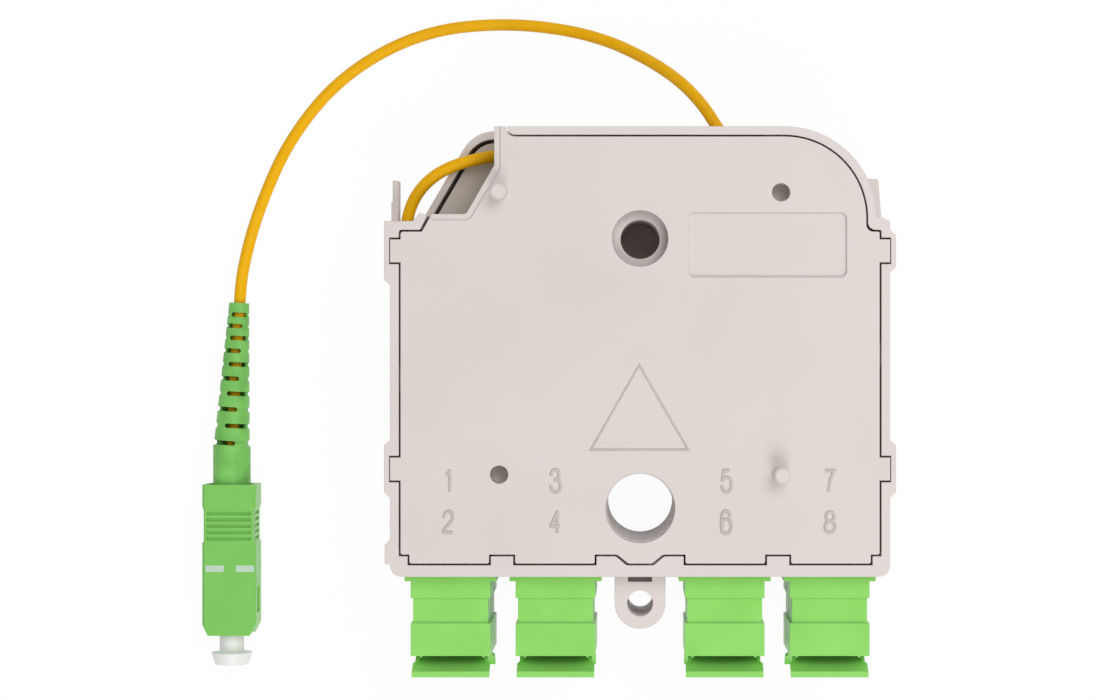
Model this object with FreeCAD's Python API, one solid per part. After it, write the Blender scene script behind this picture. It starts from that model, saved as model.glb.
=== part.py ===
"""Stackable PLC fibre splitter cassette: a moulded base shell with an inset snap cover, eight
shuttered SC adapters in two rows along the front edge, and a 2 mm input cord to an SC/APC plug.

All lengths are millimetres. The cassette lies on its back on z = 0 with its cover up (+Z), and
the adapters point along -Y. Everything is drawn with x = 0 on its centre line and y = 0 on its
front edge; main() then carries it to the row's origin, the through hole's axis on the back face.
"""
import FreeCAD, Part
import math
import os

V = FreeCAD.Vector

# ------------------------------------------------------------------ driving dimensions
# Base shell
body_width = 80.7
body_length = 72.7
body_depth = 25.0
floor_thickness = 1.5
side_rim = 1.4
rear_rim = 1.35
front_rim = 1.85
diagonal_wall = 1.1
front_corner_radius = 1.9
rear_arc_radius = 14.85
rear_arc_inset = 2.2          # from the side wall in to where the rear corner arc ends
shoulder_y = 57.4             # rear end of the two full-height side walls
shoulder_rise = (1.4, 0.65)   # slant of the right one's rear end
diagonal_foot_inset = 5.15    # from the left wall in to the diagonal's foot
diagonal_foot_y = 59.2
diagonal_head_inset = 12.95   # from the left wall in to the diagonal's head
diagonal_head_radius = 6.0
low_wall_top = 15.3           # height of the wall that the cord crosses
low_wall_end_inset = 18.95    # from the left wall in to where the rear wall rises again
rim_end_radius = 1.2
notch_inset = 16.8            # cover's open corner: its upright edge, in from the left wall
notch_corner_inset = 12.25    # and the foot of its slanted edge
notch_y = 58.55
notch_slant_end = 66.45
bulge_reach = 0.95            # side pads behind the snap pockets
bulge_slope = 0.85
front_bulge = (13.6, 21.2)    # from where to where they stand out in full
left_bulge = (47.9, 59.0)
right_bulge = (50.0, 55.1)
channel_depth = 0.85          # cord channel cut into the left pad
ear_thickness = 0.95
ear_heights = (12.0, 16.0)

# Cover
cover_thickness = 2.0
cover_gap = 0.3
cover_corner = 0.4
tab_length = 4.0
tab_reach = 1.4               # how far a cover tab crosses the side rim
tab_rows = (17.4, 52.6)
latch_height = 4.5
latch_thickness = 1.0
barb_depth = 0.45
label_size = (25.5, 10.5)
label_inset = 19.75           # from the right wall in to the label recess's middle
label_y = 53.55
label_depth = 0.5
lip_width = 1.0
lip_drop = 0.25
tongue_foot = 1.9             # half widths of the cover's front tongue
tongue_root = 3.9
tongue_radius = 1.0

# Stacking and fixing
stack_inset = 17.6            # pegs and sockets, in from the side walls
stack_rear_y = 62.05
stack_front_y = 16.5
peg_diameter = 2.7
peg_height = 4.0
peg_clearance = 0.25
through_bore = 11.3
through_y = 11.1
through_wall = 1.45
fixing_y = 54.6
fixing_recess = 9.1
fixing_bore = 6.4
fixing_shelf_drop = 3.4
fixing_wall = 2.8
lug_half_width = 4.15
lug_centre_y = -4.65
lug_bore = 4.2
lug_top = 21.0
lug_thickness = 17.0
lug_slot = (3.9, 1.15)
lug_slot_depth = 3.2

# Adapters
outer_column_inset = 9.55     # from the side walls in to the outer adapters' axes
column_share = 0.4464         # inner adapters' axes as a share of the outer ones'
adapter_width = 12.95
adapter_height = 9.3
row_pitch = 9.9
slot_clearance = 0.2
flange_width = 14.9
flange_height = 9.7
flange_thickness = 0.85
flange_gap = 0.1
band_one_end = 3.7            # distances out from the front edge
band_two_start = 7.8
mouth_out = 13.1
waist_inset = 0.38
adapter_inner_length = 12.6
plug_width = 9.0              # the SC plug section that every mouth takes
plug_height = 7.4
mouth_clearance = 0.2
middle_wall = 1.2
block_depth = 3.3             # front blocks and ribs between the adapters
snap_proud = 0.4

# Shutters
shutter_width = 12.6
shutter_thickness = 0.6
shutter_tilt = 24.0
shutter_face_offset = 1.08    # from the hinge axis out to the shutter's inner face
hinge_out = 11.0
hinge_drop = 3.1
trunnion_diameter = 0.9
trunnion_clearance = 0.05
tongue_width = 8.3            # the door where it stands inside the mouth
door_flare = (3.0, 6.3)       # and how far up it widens to its full width
arm_thickness = 0.6
arm_inset = 0.55              # arm's outer face in from the adapter's side
arm_radius = 0.9
arm_half_depth = 0.5
arm_landing = 5.6             # how far up the door its arms join it
arm_pocket_top = 0.6
skin_thickness = 0.5

# Ferrules, sleeves, inner plugs
ferrule_diameter = 2.5
sleeve_wall = 0.35
sleeve_length = 10.6
holder_wall = 0.7
inner_plug_start = 1.7
nose_end = 9.4
inner_plug_length = 17.9
inner_boot_end = 31.0

# Tray, splitter and fibres
tray_bottom = 13.0
tray_thickness = 1.2
tray_gap = 0.55
tray_front = 37.0
splitter_size = (40.0, 4.0, 4.0)
splitter_inset = 18.35        # from the left wall in to the splitter's near end
splitter_y = 66.0
splitter_bottom = 5.5
lead_diameter = 0.9
lead_step = 1.2
fan_y = 41.5                  # where the outputs turn towards their adapters
fan_step = 1.4
fan_rise = 11.0               # run over which they change height before that

# Cord and its plug
cord_diameter = 2.0
cord_top_z = 16.6             # height at which the cord leaves its clamp
clamp_x = (-6.0, 2.0)
clamp_y = 68.6
plug_x = -69.1
plug_front_y = -11.4
grip_length = 25.35
grip_wall = 0.8
grip_counterbore = 2.8        # round way for the boot in the grip's rear end
boot_length = 30.6
boot_base_diameter = 6.3
boot_shoulder_diameter = 5.96
boot_tip_diameter = 3.35
boot_root = 7.0
boot_lean = 3.0               # degrees that the tapered part leans
boot_slots = 10
boot_slot_width = 0.75
boot_slot_reach = 0.6         # how far a slot runs past the boot's axis
boot_passage = 4.1            # wide end of the tapered way round the cord
boot_nick = (0.28, 0.012)     # radius of the nicks at the tip, and its growth towards the root
boot_inset = 1.3              # how far the boot's root stands inside the grip
cap_stem_diameter = 4.1
cap_head_diameter = 6.7
ferrule_proud = 0.4

# ------------------------------------------------------------------ derived values
half_width = body_width / 2
rear_arc_end = half_width - rear_arc_inset
diagonal_foot = (diagonal_foot_inset - half_width, diagonal_foot_y)
diagonal_head_x = diagonal_head_inset - half_width
low_wall_end = low_wall_end_inset - half_width
notch_x = notch_inset - half_width
notch_corner_x = notch_corner_inset - half_width
label_centre = (half_width - label_inset, label_y)
stack_x = half_width - stack_inset
splitter_x = splitter_inset - half_width
outer_column = half_width - outer_column_inset
adapter_columns = (-outer_column, -outer_column * column_share, outer_column * column_share,
                   outer_column)
cavity_half = half_width - side_rim
cavity_rear = body_length - rear_rim
cover_bottom = body_depth - cover_thickness
row_middle = body_depth / 2
adapter_half = adapter_width / 2
slot_half = adapter_half + slot_clearance + 0.05
slot_low = row_middle - row_pitch / 2 - adapter_height / 2 - slot_clearance
slot_high = row_middle + row_pitch / 2 + adapter_height / 2 + slot_clearance
mouth_half = plug_width / 2 + mouth_clearance / 2
mouth_rise = plug_height / 2 + mouth_clearance / 2
tray_top = tray_bottom + tray_thickness
plug_z = plug_height / 2
grip_rear_y = plug_front_y + grip_length


# ------------------------------------------------------------------ small tools
def block(x0, x1, y0, y1, z0, z1):
    return Part.makeBox(x1 - x0, y1 - y0, z1 - z0, V(x0, y0, z0))


def post(x, y, z0, z1, diameter):
    return Part.makeCylinder(diameter / 2, z1 - z0, V(x, y, z0))


def rod(start, end, diameter):
    run = end - start
    return Part.makeCylinder(diameter / 2, run.Length, start, run)


def rounded_wire(corners):
    """Closed wire through corners (x, y) or (x, y, radius), rounded by tangent arcs."""
    bends = []
    for i, corner in enumerate(corners):
        point = V(corner[0], corner[1], 0)
        before = V(corners[i - 1][0], corners[i - 1][1], 0)
        follow = corners[(i + 1) % len(corners)]
        after = V(follow[0], follow[1], 0)
        radius = corner[2] if len(corner) > 2 else 0
        if not radius:
            bends.append((point, None, point))
            continue
        back = (before - point).normalize()
        ahead = (after - point).normalize()
        half = back.getAngle(ahead) / 2
        reach = radius / math.tan(half)
        crown = point + (back + ahead).normalize() * (radius / math.sin(half) - radius)
        bends.append((point + back * reach, crown, point + ahead * reach))
    edges = []
    for i, (start, crown, end) in enumerate(bends):
        if crown is not None:
            edges.append(Part.Arc(start, crown, end).toShape())
        next_start = bends[(i + 1) % len(bends)][0]
        if (next_start - end).Length > 1e-6:
            edges.append(Part.makeLine(end, next_start))
    return Part.Wire(edges)


def plate(corners, z0, z1):
    """Flat slab between two heights with the given rounded outline."""
    slab = Part.Face(rounded_wire(corners)).extrude(V(0, 0, z1 - z0))
    slab.translate(V(0, 0, z0))
    return slab


def side_plate(corners, x0, x1):
    """Slab across x, drawn in the (y, z) plane."""
    points = [V(x0, y, z) for y, z in corners]
    face = Part.Face(Part.makePolygon(points + points[:1]))
    return face.extrude(V(x1 - x0, 0, 0))


def join(shapes):
    return shapes[0].fuse(shapes[1:]).removeSplitter() if len(shapes) > 1 else shapes[0]


def tube_along(points, diameter, label=None):
    """Round tube on straight runs joined by the largest tangent arcs that the runs allow."""
    line = [V(*point) for point in points]
    edges = []
    radii = []
    start = line[0]
    for before, corner, after in zip(line, line[1:], line[2:]):
        back = (before - corner)
        ahead = (after - corner)
        shorter = min(back.Length, ahead.Length)
        turn = math.pi - back.getAngle(ahead)
        reach = 0.45 * shorter
        radius = reach / math.tan(turn / 2)
        back.normalize()
        ahead.normalize()
        centre_reach = radius / math.cos(turn / 2)
        crown = corner + (back + ahead).normalize() * (centre_reach - radius)
        enter = corner + back * reach
        leave = corner + ahead * reach
        edges.append(Part.makeLine(start, enter))
        edges.append(Part.Arc(enter, crown, leave).toShape())
        radii.append(radius)
        start = leave
    edges.append(Part.makeLine(start, line[-1]))
    path = Part.Wire(edges)
    heading = (line[1] - line[0]).normalize()
    ring = Part.Wire(Part.makeCircle(diameter / 2, line[0], heading))
    tube = path.makePipeShell([ring], True, False)
    expected = math.pi * diameter ** 2 / 4 * path.Length
    if label:
        print(label, "radii", [round(radius, 1) for radius in radii],
              "length", round(path.Length, 1), "volume ratio", round(tube.Volume / expected, 4))
    return tube


# ------------------------------------------------------------------ outlines of the shell
def body_outline():
    return [(-half_width, 0, front_corner_radius), (half_width, 0, front_corner_radius),
            (half_width, shoulder_y, 0.3),
            (half_width - shoulder_rise[0], shoulder_y + shoulder_rise[1]),
            (rear_arc_end, shoulder_y + shoulder_rise[1], 0.3),
            (rear_arc_end, body_length, rear_arc_radius),
            (diagonal_head_x, body_length, diagonal_head_radius),
            diagonal_foot, (diagonal_foot[0] - 1.5, shoulder_y, 0.3), (-half_width, shoulder_y)]


def diagonal_inset(inset):
    """Foot and head x of the diagonal, moved in square to itself."""
    run = body_length - diagonal_foot[1]
    slope = math.atan2(run, diagonal_head_x - diagonal_foot[0])
    shift = inset / math.sin(slope)
    rear_inset = inset if inset > diagonal_wall else rear_rim
    head = diagonal_head_x + shift - rear_inset / math.tan(slope)
    return shift, head


def cavity_outline(gap=0.0):
    """Inside of the walls, shrunk by a further gap."""
    side = cavity_half - gap
    rear = cavity_rear - gap
    arc_x = rear_arc_end - rear_rim - gap
    shelf = shoulder_y - side_rim - gap
    shift, head = diagonal_inset(diagonal_wall + gap)
    foot_x = diagonal_foot[0] + shift
    return [(-side, front_rim + gap), (side, front_rim + gap),
            (side, shelf, 0.3), (arc_x, shelf, 1.2),
            (arc_x, rear, rear_arc_radius - rear_rim - gap),
            (head, rear, diagonal_head_radius - diagonal_wall - gap),
            (foot_x, diagonal_foot[1], 0.4), (foot_x - 1.6, shelf, 0.3), (-side, shelf, 0.4)]


def front_gaps():
    """(low x, high x) of each adapter slot in the front wall, left to right."""
    return [(x - slot_half, x + slot_half) for x in adapter_columns]


def column_blocks():
    """(low x, high x) of the solid front blocks beside and between the slots."""
    edges = [-cavity_half]
    for low, high in front_gaps():
        edges += [low, high]
    edges.append(cavity_half)
    return list(zip(edges[::2], edges[1::2]))


# ------------------------------------------------------------------ base shell
def snap_pockets():
    """(side, centre y) of the four cover tabs."""
    return [(side, y) for side in (-1, 1) for y in tab_rows]


def base_shell():
    shell = plate(body_outline(), 0, body_depth)
    shell = shell.cut(plate(cavity_outline(), floor_thickness, body_depth + 1))
    additions = [block(low, high, front_rim - 0.5, block_depth, floor_thickness, body_depth)
                 for low, high in column_blocks()]
    additions.append(post(0, through_y, 0, cover_bottom - 0.1,
                          through_bore + 2 * through_wall - 0.1))
    additions.append(post(0, fixing_y, 0, body_depth - fixing_shelf_drop,
                          fixing_bore + 2 * fixing_wall))
    additions += side_pads() + ears() + tray_rests() + splitter_cradles() + [lug()]
    additions += cover_rests()
    shell = join([shell] + additions)
    cuts = [block(low, high, -1, block_depth + 1, slot_low, slot_high)
            for low, high in front_gaps()]
    cuts.append(post(0, through_y, -1, body_depth + 1, through_bore - 0.4))
    cuts.append(post(0, through_y, cover_bottom - 0.1, body_depth + 1, through_bore + 1.6))
    cuts.append(post(0, fixing_y, 2 * floor_thickness, body_depth, fixing_bore))
    cuts.append(centre_dip())
    cuts += [pocket(side, y) for side, y in snap_pockets()]
    cuts += [low_wall_cut(), channel_window(), cord_window()]
    return shell.cut(cuts).removeSplitter()


def centre_dip():
    """Dip in the middle front block that takes the cover's front tongue."""
    low = front_rim
    high = block_depth + 1
    return plate([(-tongue_root - 2, high), (-tongue_root - 2, block_depth),
                 (-tongue_root, block_depth, tongue_radius),
                 (-tongue_foot - cover_gap, low, tongue_radius),
                 (tongue_foot + cover_gap, low, tongue_radius),
                 (tongue_root, block_depth, tongue_radius),
                 (tongue_root + 2, block_depth), (tongue_root + 2, high)],
                 cover_bottom - 0.1, body_depth + 1)


def side_pads():
    """Pads outside the side walls, behind the snap pockets, and the small front foot."""
    pads = []
    for side, span in ((-1, front_bulge), (1, front_bulge), (-1, left_bulge), (1, right_bulge)):
        low, high = span
        outer = side * (half_width + bulge_reach)
        inner = side * (half_width - 0.5)
        wall = side * half_width
        corners = [(inner, low - bulge_slope), (wall, low - bulge_slope), (outer, low, 0.5),
                   (outer, high, 0.5), (wall, high + bulge_slope), (inner, high + bulge_slope)]
        top = min(shoulder_y, high + bulge_slope)
        pad = plate(corners, 0, body_depth)
        pads.append(pad.common(block(-body_width, body_width, 0, top, 0, body_depth)))
    outer = -half_width - bulge_reach + 0.1
    foot = [(outer, 2.0, 0.3), (-half_width + 0.5, 2.0), (-half_width + 0.5, 6.0),
            (-half_width, 6.0), (outer, 5.1, 0.5)]
    pads.append(plate(foot, 0, body_depth))
    return pads


def ears():
    """Wall ends that rise past the shoulders: a thin post on the left, a foot on the right."""
    outer = -half_width - 0.6
    left = [(outer, shoulder_y - 1), (outer + ear_thickness + 0.2, shoulder_y - 1),
            (outer + ear_thickness + 0.2, 64.5), (outer + 0.2, 64.5), (outer + 0.2, 61.0),
            (outer, 61.0)]
    inner = half_width - 5.85
    right = [(inner, shoulder_y - 1), (half_width, shoulder_y - 1), (half_width, 59.0),
             (half_width - 0.5, 65.2, 0.4), (inner, 65.2)]
    arc_inside = plate(cavity_outline(), -1, body_depth)
    return [plate(left, *ear_heights), plate(right, 0, 9.0).cut(arc_inside)]


def pocket(side, y):
    """Cut for a cover tab through the side rim, with the barb's catch below it."""
    half = tab_length / 2 + cover_gap / 2
    inner = cavity_half - 0.5
    outer = cavity_half + tab_reach + cover_gap / 2
    mouth = block(inner, outer, y - half, y + half, cover_bottom - 0.1, body_depth + 1)
    catch_low = cover_bottom - latch_height - 0.1
    catch = block(inner, cavity_half + barb_depth + 0.15, y - half, y + half,
                  catch_low, catch_low + 1.6)
    cut = mouth.fuse(catch)
    if side < 0:
        cut = cut.mirror(V(0, 0, 0), V(1, 0, 0))
    return cut


def low_wall_cut():
    """Opening above the lowered rear wall, from the diagonal's foot to the rear rim."""
    foot_x, foot_y = diagonal_foot
    inside = low_wall_end + 2 * rim_end_radius
    corners = [(foot_x - 2, foot_y + 0.2), (foot_x + 2.2, foot_y - 1.4), (foot_x + 7.2, 58.0),
               (inside, 64.0), (inside, cavity_rear), (low_wall_end, cavity_rear, rim_end_radius),
               (low_wall_end, body_length + 1), (foot_x - 2, body_length + 1)]
    return plate(corners, low_wall_top, body_depth + 1)


def channel_window():
    """Channel in the left pad and through the shoulder wall, under the rim, for the cord."""
    return block(-cavity_half - channel_depth, diagonal_foot[0] - 0.9, 48.0, shoulder_y + 1,
                 tray_top, tray_top + 3.8)


def cord_window():
    """Way for the cord through the rear wall."""
    return block(10.9, 16.3, cavity_rear - 1, body_length + 1, 14.0, 17.4)


def tray_rests():
    rests = [(-16.5, -12.5, cavity_rear - 2.2, cavity_rear + 0.5),
             (5.0, 9.0, cavity_rear - 2.2, cavity_rear + 0.5),
             (-cavity_half - 0.5, -cavity_half + 2.2, 43.0, 47.0),
             (cavity_half - 2.2, cavity_half + 0.5, 43.0, 47.0)]
    pillars = [block(*rest, 0.5, tray_bottom) for rest in rests]
    pillars.append(post(0, fixing_y, 0.5, tray_bottom, fixing_bore + 2 * fixing_wall + 2.0))
    return pillars


def cover_rests():
    """Ledges on the walls and blocks that the cover sits on."""
    reach = 1.2
    ledges = [(cavity_half - reach, cavity_half + 0.5, 34.0, 38.0),
              (-cavity_half - 0.5, -cavity_half + reach, 30.0, 34.0),
              (-15.0, -10.0, cavity_rear - reach, cavity_rear + 0.5),
              (20.0, 24.0, cavity_rear - reach, cavity_rear + 0.5)]
    rests = [block(*ledge, tray_top + 3.5, cover_bottom) for ledge in ledges]
    inset = snap_proud - slot_clearance + 0.15
    blocks = column_blocks()
    for low, high in blocks:
        left = low if (low, high) == blocks[0] else low + inset
        right = high if (low, high) == blocks[-1] else high - inset
        rests.append(block(left, right, front_rim, block_depth + 0.9,
                           floor_thickness, cover_bottom))
    return rests


def splitter_cradles():
    """Two forked cradles on the floor that grip the splitter package."""
    length, width, height = splitter_size
    cradles = []
    for x in (splitter_x + 7, splitter_x + length - 11):
        fork = block(x, x + 4, splitter_y - width / 2 - 1.0, splitter_y + width / 2 + 1.0,
                     0.5, splitter_bottom + height * 0.7)
        fork = fork.cut(block(x - 1, x + 5, splitter_y - width / 2 - 0.05,
                              splitter_y + width / 2 + 0.05, splitter_bottom, body_depth))
        cradles.append(fork)
    return cradles


def lug():
    """Front hanging lug with its bore, and a blind tie slot at its root."""
    end = lug_centre_y - lug_half_width
    outline = [(-lug_half_width, 1.0), (-lug_half_width, end, lug_half_width - 0.01),
               (lug_half_width, end, lug_half_width - 0.01), (lug_half_width, 1.0)]
    tongue = plate(outline, lug_top - lug_thickness, lug_top)
    bore = post(0, lug_centre_y, 0, body_depth, lug_bore)
    slot = block(-lug_slot[0] / 2, lug_slot[0] / 2, -lug_slot[1], -0.02,
                 lug_top - lug_slot_depth, body_depth)
    return tongue.cut([bore, slot])


# ------------------------------------------------------------------ cover
def cover_outline():
    g = cover_gap
    side = cavity_half - g
    low = front_rim + g
    step = block_depth + g
    blocks = column_blocks()
    corners = [(-side, step, cover_corner)]
    for i, (left, right) in enumerate(blocks):
        if i:
            corners += [(left - g, low, 0.3), (left - g, step)]
        if left < 0 < right:
            corners += [(-tongue_root + 0.2, step, tongue_radius),
                        (-tongue_foot, low, tongue_radius), (tongue_foot, low, tongue_radius),
                        (tongue_root - 0.2, step, tongue_radius)]
        if i < len(blocks) - 1:
            corners += [(right + g, step), (right + g, low, 0.3)]
    shelf = shoulder_y - side_rim - g
    arc_x = rear_arc_end - rear_rim - g
    rear = cavity_rear - g
    rim_end = low_wall_end - g
    foot_x = diagonal_foot[0]
    corners += [(side, step, cover_corner), (side, shelf, 0.3), (arc_x, shelf, 1.2),
                (arc_x, rear, rear_arc_radius - rear_rim - g),
                (rim_end, rear, rim_end_radius + g), (rim_end, body_length),
                (notch_x, body_length), (notch_x, notch_slant_end),
                (notch_corner_x, notch_y, 0.8), (foot_x + 1.6, notch_y), (foot_x, shelf, 0.3),
                (-side, shelf, 0.4)]
    return corners


def cover():
    top = plate(cover_outline(), cover_bottom, body_depth)
    boss_depth = peg_height + peg_clearance
    sockets = ((stack_x, stack_rear_y), (-stack_x, stack_front_y))
    pegs = ((-stack_x, stack_rear_y), (stack_x, stack_front_y))
    parts = [top]
    parts += [post(x, y, body_depth - boss_depth - 1.0, body_depth - 0.5, peg_diameter + 2.4)
              for x, y in sockets]
    parts += [peg(x, y) for x, y in pegs]
    for side, y in snap_pockets():
        parts.append(snap_tab(side, y))
    shape = join(parts)
    cuts = [post(x, y, body_depth - boss_depth, body_depth + 1, peg_diameter + peg_clearance)
            for x, y in sockets]
    cuts.append(post(0, through_y, 0, body_depth + 1, through_bore))
    cuts.append(post(0, fixing_y, 0, body_depth + 1, fixing_recess))
    cuts.append(label_recess())
    cuts.append(lip_cut())
    return shape.cut(cuts).removeSplitter()


def peg(x, y):
    """Stacking peg with a chamfered end."""
    shaft = post(x, y, cover_bottom, body_depth + peg_height, peg_diameter)
    rim = [edge for edge in shaft.Edges
           if edge.Length > 3 and abs(edge.CenterOfMass.z - shaft.BoundBox.ZMax) < 0.01]
    return shaft.makeChamfer(0.35, rim)


def snap_tab(side, y):
    """Cover tab across the rim, with a barbed latch leg under it."""
    half = tab_length / 2 - cover_gap / 2
    leg_outer = cavity_half - cover_gap
    tab = block(leg_outer - 2, cavity_half + tab_reach, y - half, y + half,
                cover_bottom + 0.1, body_depth)
    foot = cover_bottom - latch_height
    leg = block(leg_outer - latch_thickness, leg_outer, y - half, y + half, foot,
                cover_bottom + 0.5)
    tip = cavity_half + barb_depth
    profile = [V(leg_outer - 0.1, y - half, foot + 0.1), V(leg_outer, y - half, foot + 0.1),
               V(tip, y - half, foot + 1.1), V(leg_outer - 0.1, y - half, foot + 1.3)]
    barb = Part.Face(Part.makePolygon(profile + profile[:1])).extrude(V(0, 2 * half, 0))
    shape = join([tab, leg, barb])
    if side < 0:
        shape = shape.mirror(V(0, 0, 0), V(1, 0, 0))
    return shape


def label_recess():
    length, width = label_size
    x, y = label_centre
    corners = [(x + sx * length / 2, y + sy * width / 2, 1.0)
               for sx, sy in ((-1, -1), (1, -1), (1, 1), (-1, 1))]
    return plate(corners, body_depth - label_depth, body_depth + 1)


def lip_cut():
    """Lowered lip along the three edges of the cover's open corner."""
    shift = lip_width * math.tan(math.radians(30))
    outline = [(diagonal_foot[0] + 1.6, notch_y - lip_width),
               (notch_corner_x + shift, notch_y - lip_width, 1.2),
               (notch_x + lip_width, notch_slant_end - shift, 0.6),
               (notch_x + lip_width, body_length + 1), (diagonal_foot[0] + 1.6, body_length + 1)]
    return plate(outline, body_depth - lip_drop, body_depth + 1)


# ------------------------------------------------------------------ adapters and shutters
def seat(shape, column, row):
    """Carry a shape from the adapter's own frame to its place; the back row is turned over."""
    placed = shape.copy()
    if row < 0:
        placed.rotate(V(0, 0, 0), V(0, 1, 0), 180)
    placed.translate(V(adapter_columns[column], 0, row_middle + row * row_pitch / 2))
    return placed


def adapter_body():
    """One SC adapter about its own axis: y = 0 on the shell's front face, mouth at -mouth_out."""
    h = adapter_height / 2
    w = adapter_half
    pieces = [
        block(-w, w, -band_one_end, adapter_inner_length, -h, h),
        block(-flange_width / 2, flange_width / 2, -flange_thickness - flange_gap, -flange_gap,
              -flange_height / 2, flange_height / 2),
        block(-w + waist_inset, w - waist_inset, -band_two_start, -band_one_end,
              -h + waist_inset, h - waist_inset),
        block(-w, w, -mouth_out, -band_two_start, -h, h)]
    for side in (-1, 1):
        wedge = [(side * (w - 0.3), block_depth + 0.1), (side * (w + snap_proud),
                 block_depth + 0.1), (side * (w - 0.01), block_depth + 2.4),
                 (side * (w - 0.3), block_depth + 2.4)]
        pieces.append(plate(wedge, -1.6, 1.6))
    body = join(pieces)
    wall = middle_wall / 2
    cuts = [
        block(-mouth_half, mouth_half, -mouth_out - 1, -wall, -mouth_rise, mouth_rise),
        block(-mouth_half, mouth_half, wall, adapter_inner_length + 1, -mouth_rise, mouth_rise),
        Part.makeCylinder(ferrule_diameter / 2 + sleeve_wall + 0.1, 4, V(0, -2, 0), V(0, 1, 0)),
        block(-1.25, 1.25, -mouth_out - 1, -mouth_out + 6, mouth_rise - 0.1, mouth_rise + 0.4)]
    notch_half = tongue_width / 2 + 0.3
    cuts.append(block(-notch_half, notch_half, -mouth_out - 1, -hinge_out + 1.3,
                      -h - 1, -mouth_rise + 0.1))
    for side in (-1, 1):
        low = min(side * (mouth_half - 0.1), side * (w - skin_thickness))
        high = max(side * (mouth_half - 0.1), side * (w - skin_thickness))
        cuts.append(block(low, high, -mouth_out - 1, -hinge_out + 1.2, -h - 1,
                          arm_pocket_top))
        hole = trunnion_diameter / 2 + trunnion_clearance
        start = side * w - 1.0
        cuts.append(Part.makeCylinder(hole, 2, V(start, -hinge_out, -hinge_drop), V(1, 0, 0)))
    return body.cut(cuts).removeSplitter()


def shutter():
    """Sprung door about its own hinge axis, standing out at its resting tilt."""
    tilt = math.radians(shutter_tilt)
    up = V(0, -math.sin(tilt), math.cos(tilt))
    out = V(0, -math.cos(tilt), -math.sin(tilt))
    hinge = V(0, -hinge_out, -hinge_drop)
    foot = hinge + out * shutter_face_offset
    top = (adapter_height / 2 - foot.z) / up.z
    half = shutter_width / 2
    tongue = tongue_width / 2
    narrow, wide = door_flare
    outline = [(-tongue, -0.4), (tongue, -0.4), (tongue, narrow), (half, wide), (half, top),
               (-half, top), (-half, wide), (-tongue, narrow)]
    points = [foot + V(1, 0, 0) * x + up * s for x, s in outline]
    door = Part.Face(Part.makePolygon(points + points[:1])).extrude(out * shutter_thickness)
    door = door.common(block(-10, 10, -30, 0, -10, adapter_height / 2))
    ridge_y = foot.y + up.y * top
    lip = block(-half, half, ridge_y - shutter_thickness - 0.35, ridge_y,
                adapter_height / 2 - 1.0, adapter_height / 2)
    pieces = [door, lip]
    arm_outer = adapter_half - arm_inset
    arm_inner = arm_outer - arm_thickness
    landing = foot + up * arm_landing + out * (shutter_thickness / 2)
    heading = landing - hinge
    across = V(0, -heading.z, heading.y).normalize() * arm_half_depth
    bar = [hinge + across, hinge - across, landing - across, landing + across]
    for side in (-1, 1):
        x0 = min(side * arm_inner, side * arm_outer)
        arm = side_plate([(p.y, p.z) for p in bar], x0, x0 + arm_thickness)
        knuckle = Part.makeCylinder(arm_radius, arm_thickness, hinge + V(x0, 0, 0), V(1, 0, 0))
        stub_start = min(side * (mouth_half + 0.15), side * (adapter_half - 0.1))
        stub_length = adapter_half - 0.1 - mouth_half - 0.15
        stub = Part.makeCylinder(trunnion_diameter / 2, stub_length,
                                 hinge + V(stub_start, 0, 0), V(1, 0, 0))
        pieces += [arm, knuckle, stub]
    return join(pieces)


def shutter_spring():
    """Closely wound torsion spring on one trunnion, with a leg to the adapter and one to the door."""
    hinge = V(mouth_half + 0.15, -hinge_out, -hinge_drop)
    width = adapter_half - arm_inset - arm_thickness - mouth_half - 0.25
    outer = trunnion_diameter / 2 + 0.3
    coil = Part.makeCylinder(outer, width, hinge, V(1, 0, 0))
    coil = coil.cut(Part.makeCylinder(trunnion_diameter / 2 + 0.05, width + 2,
                                      hinge - V(1, 0, 0), V(1, 0, 0)))
    wire = 0.2
    low = hinge.z + trunnion_diameter / 2 + 0.08
    back_leg = block(hinge.x, hinge.x + wire, hinge.y, -hinge_out + 1.2, low, low + wire)
    door_leg = block(hinge.x + width - wire, hinge.x + width, -hinge_out - 1.25, hinge.y,
                     low, low + wire)
    return join([coil, back_leg, door_leg])


def sleeve_holder():
    """Moulded holder in the adapter's middle wall, with latch hooks towards both plugs."""
    inner = ferrule_diameter / 2 + sleeve_wall + 0.05
    outer = inner + holder_wall
    reach = sleeve_length / 2 + 0.3
    shell = Part.makeCylinder(outer, reach - middle_wall / 2, V(0, -reach, 0), V(0, 1, 0))
    shell = shell.fuse(Part.makeCylinder(outer, reach - middle_wall / 2,
                                         V(0, middle_wall / 2, 0), V(0, 1, 0)))
    neck = Part.makeCylinder(inner + 0.04, 2 * reach, V(0, -reach, 0), V(0, 1, 0))
    pieces = [shell, neck]
    for end in (-1, 1):
        base = end * middle_wall / 2
        foot = block(-mouth_half + 0.1, mouth_half - 0.1, min(base, base + end * 0.8),
                     max(base, base + end * 0.8), -2.6, 2.6)
        pieces.append(foot)
        for side in (-1, 1):
            x0 = min(side * 3.5, side * 4.3)
            y0 = min(base, base + end * 6.2)
            pieces.append(block(x0, x0 + 0.8, y0, y0 + 6.2, -1.3, 1.3))
            tip = base + end * 6.2
            xh = min(side * 3.1, side * 4.3)
            pieces.append(block(xh, xh + 1.2, min(tip - end * 0.9, tip),
                                max(tip - end * 0.9, tip), -1.3, 1.3))
    bore = Part.makeCylinder(inner, 2 * reach + 2, V(0, -reach - 1, 0), V(0, 1, 0))
    return join(pieces).cut(bore)


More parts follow.
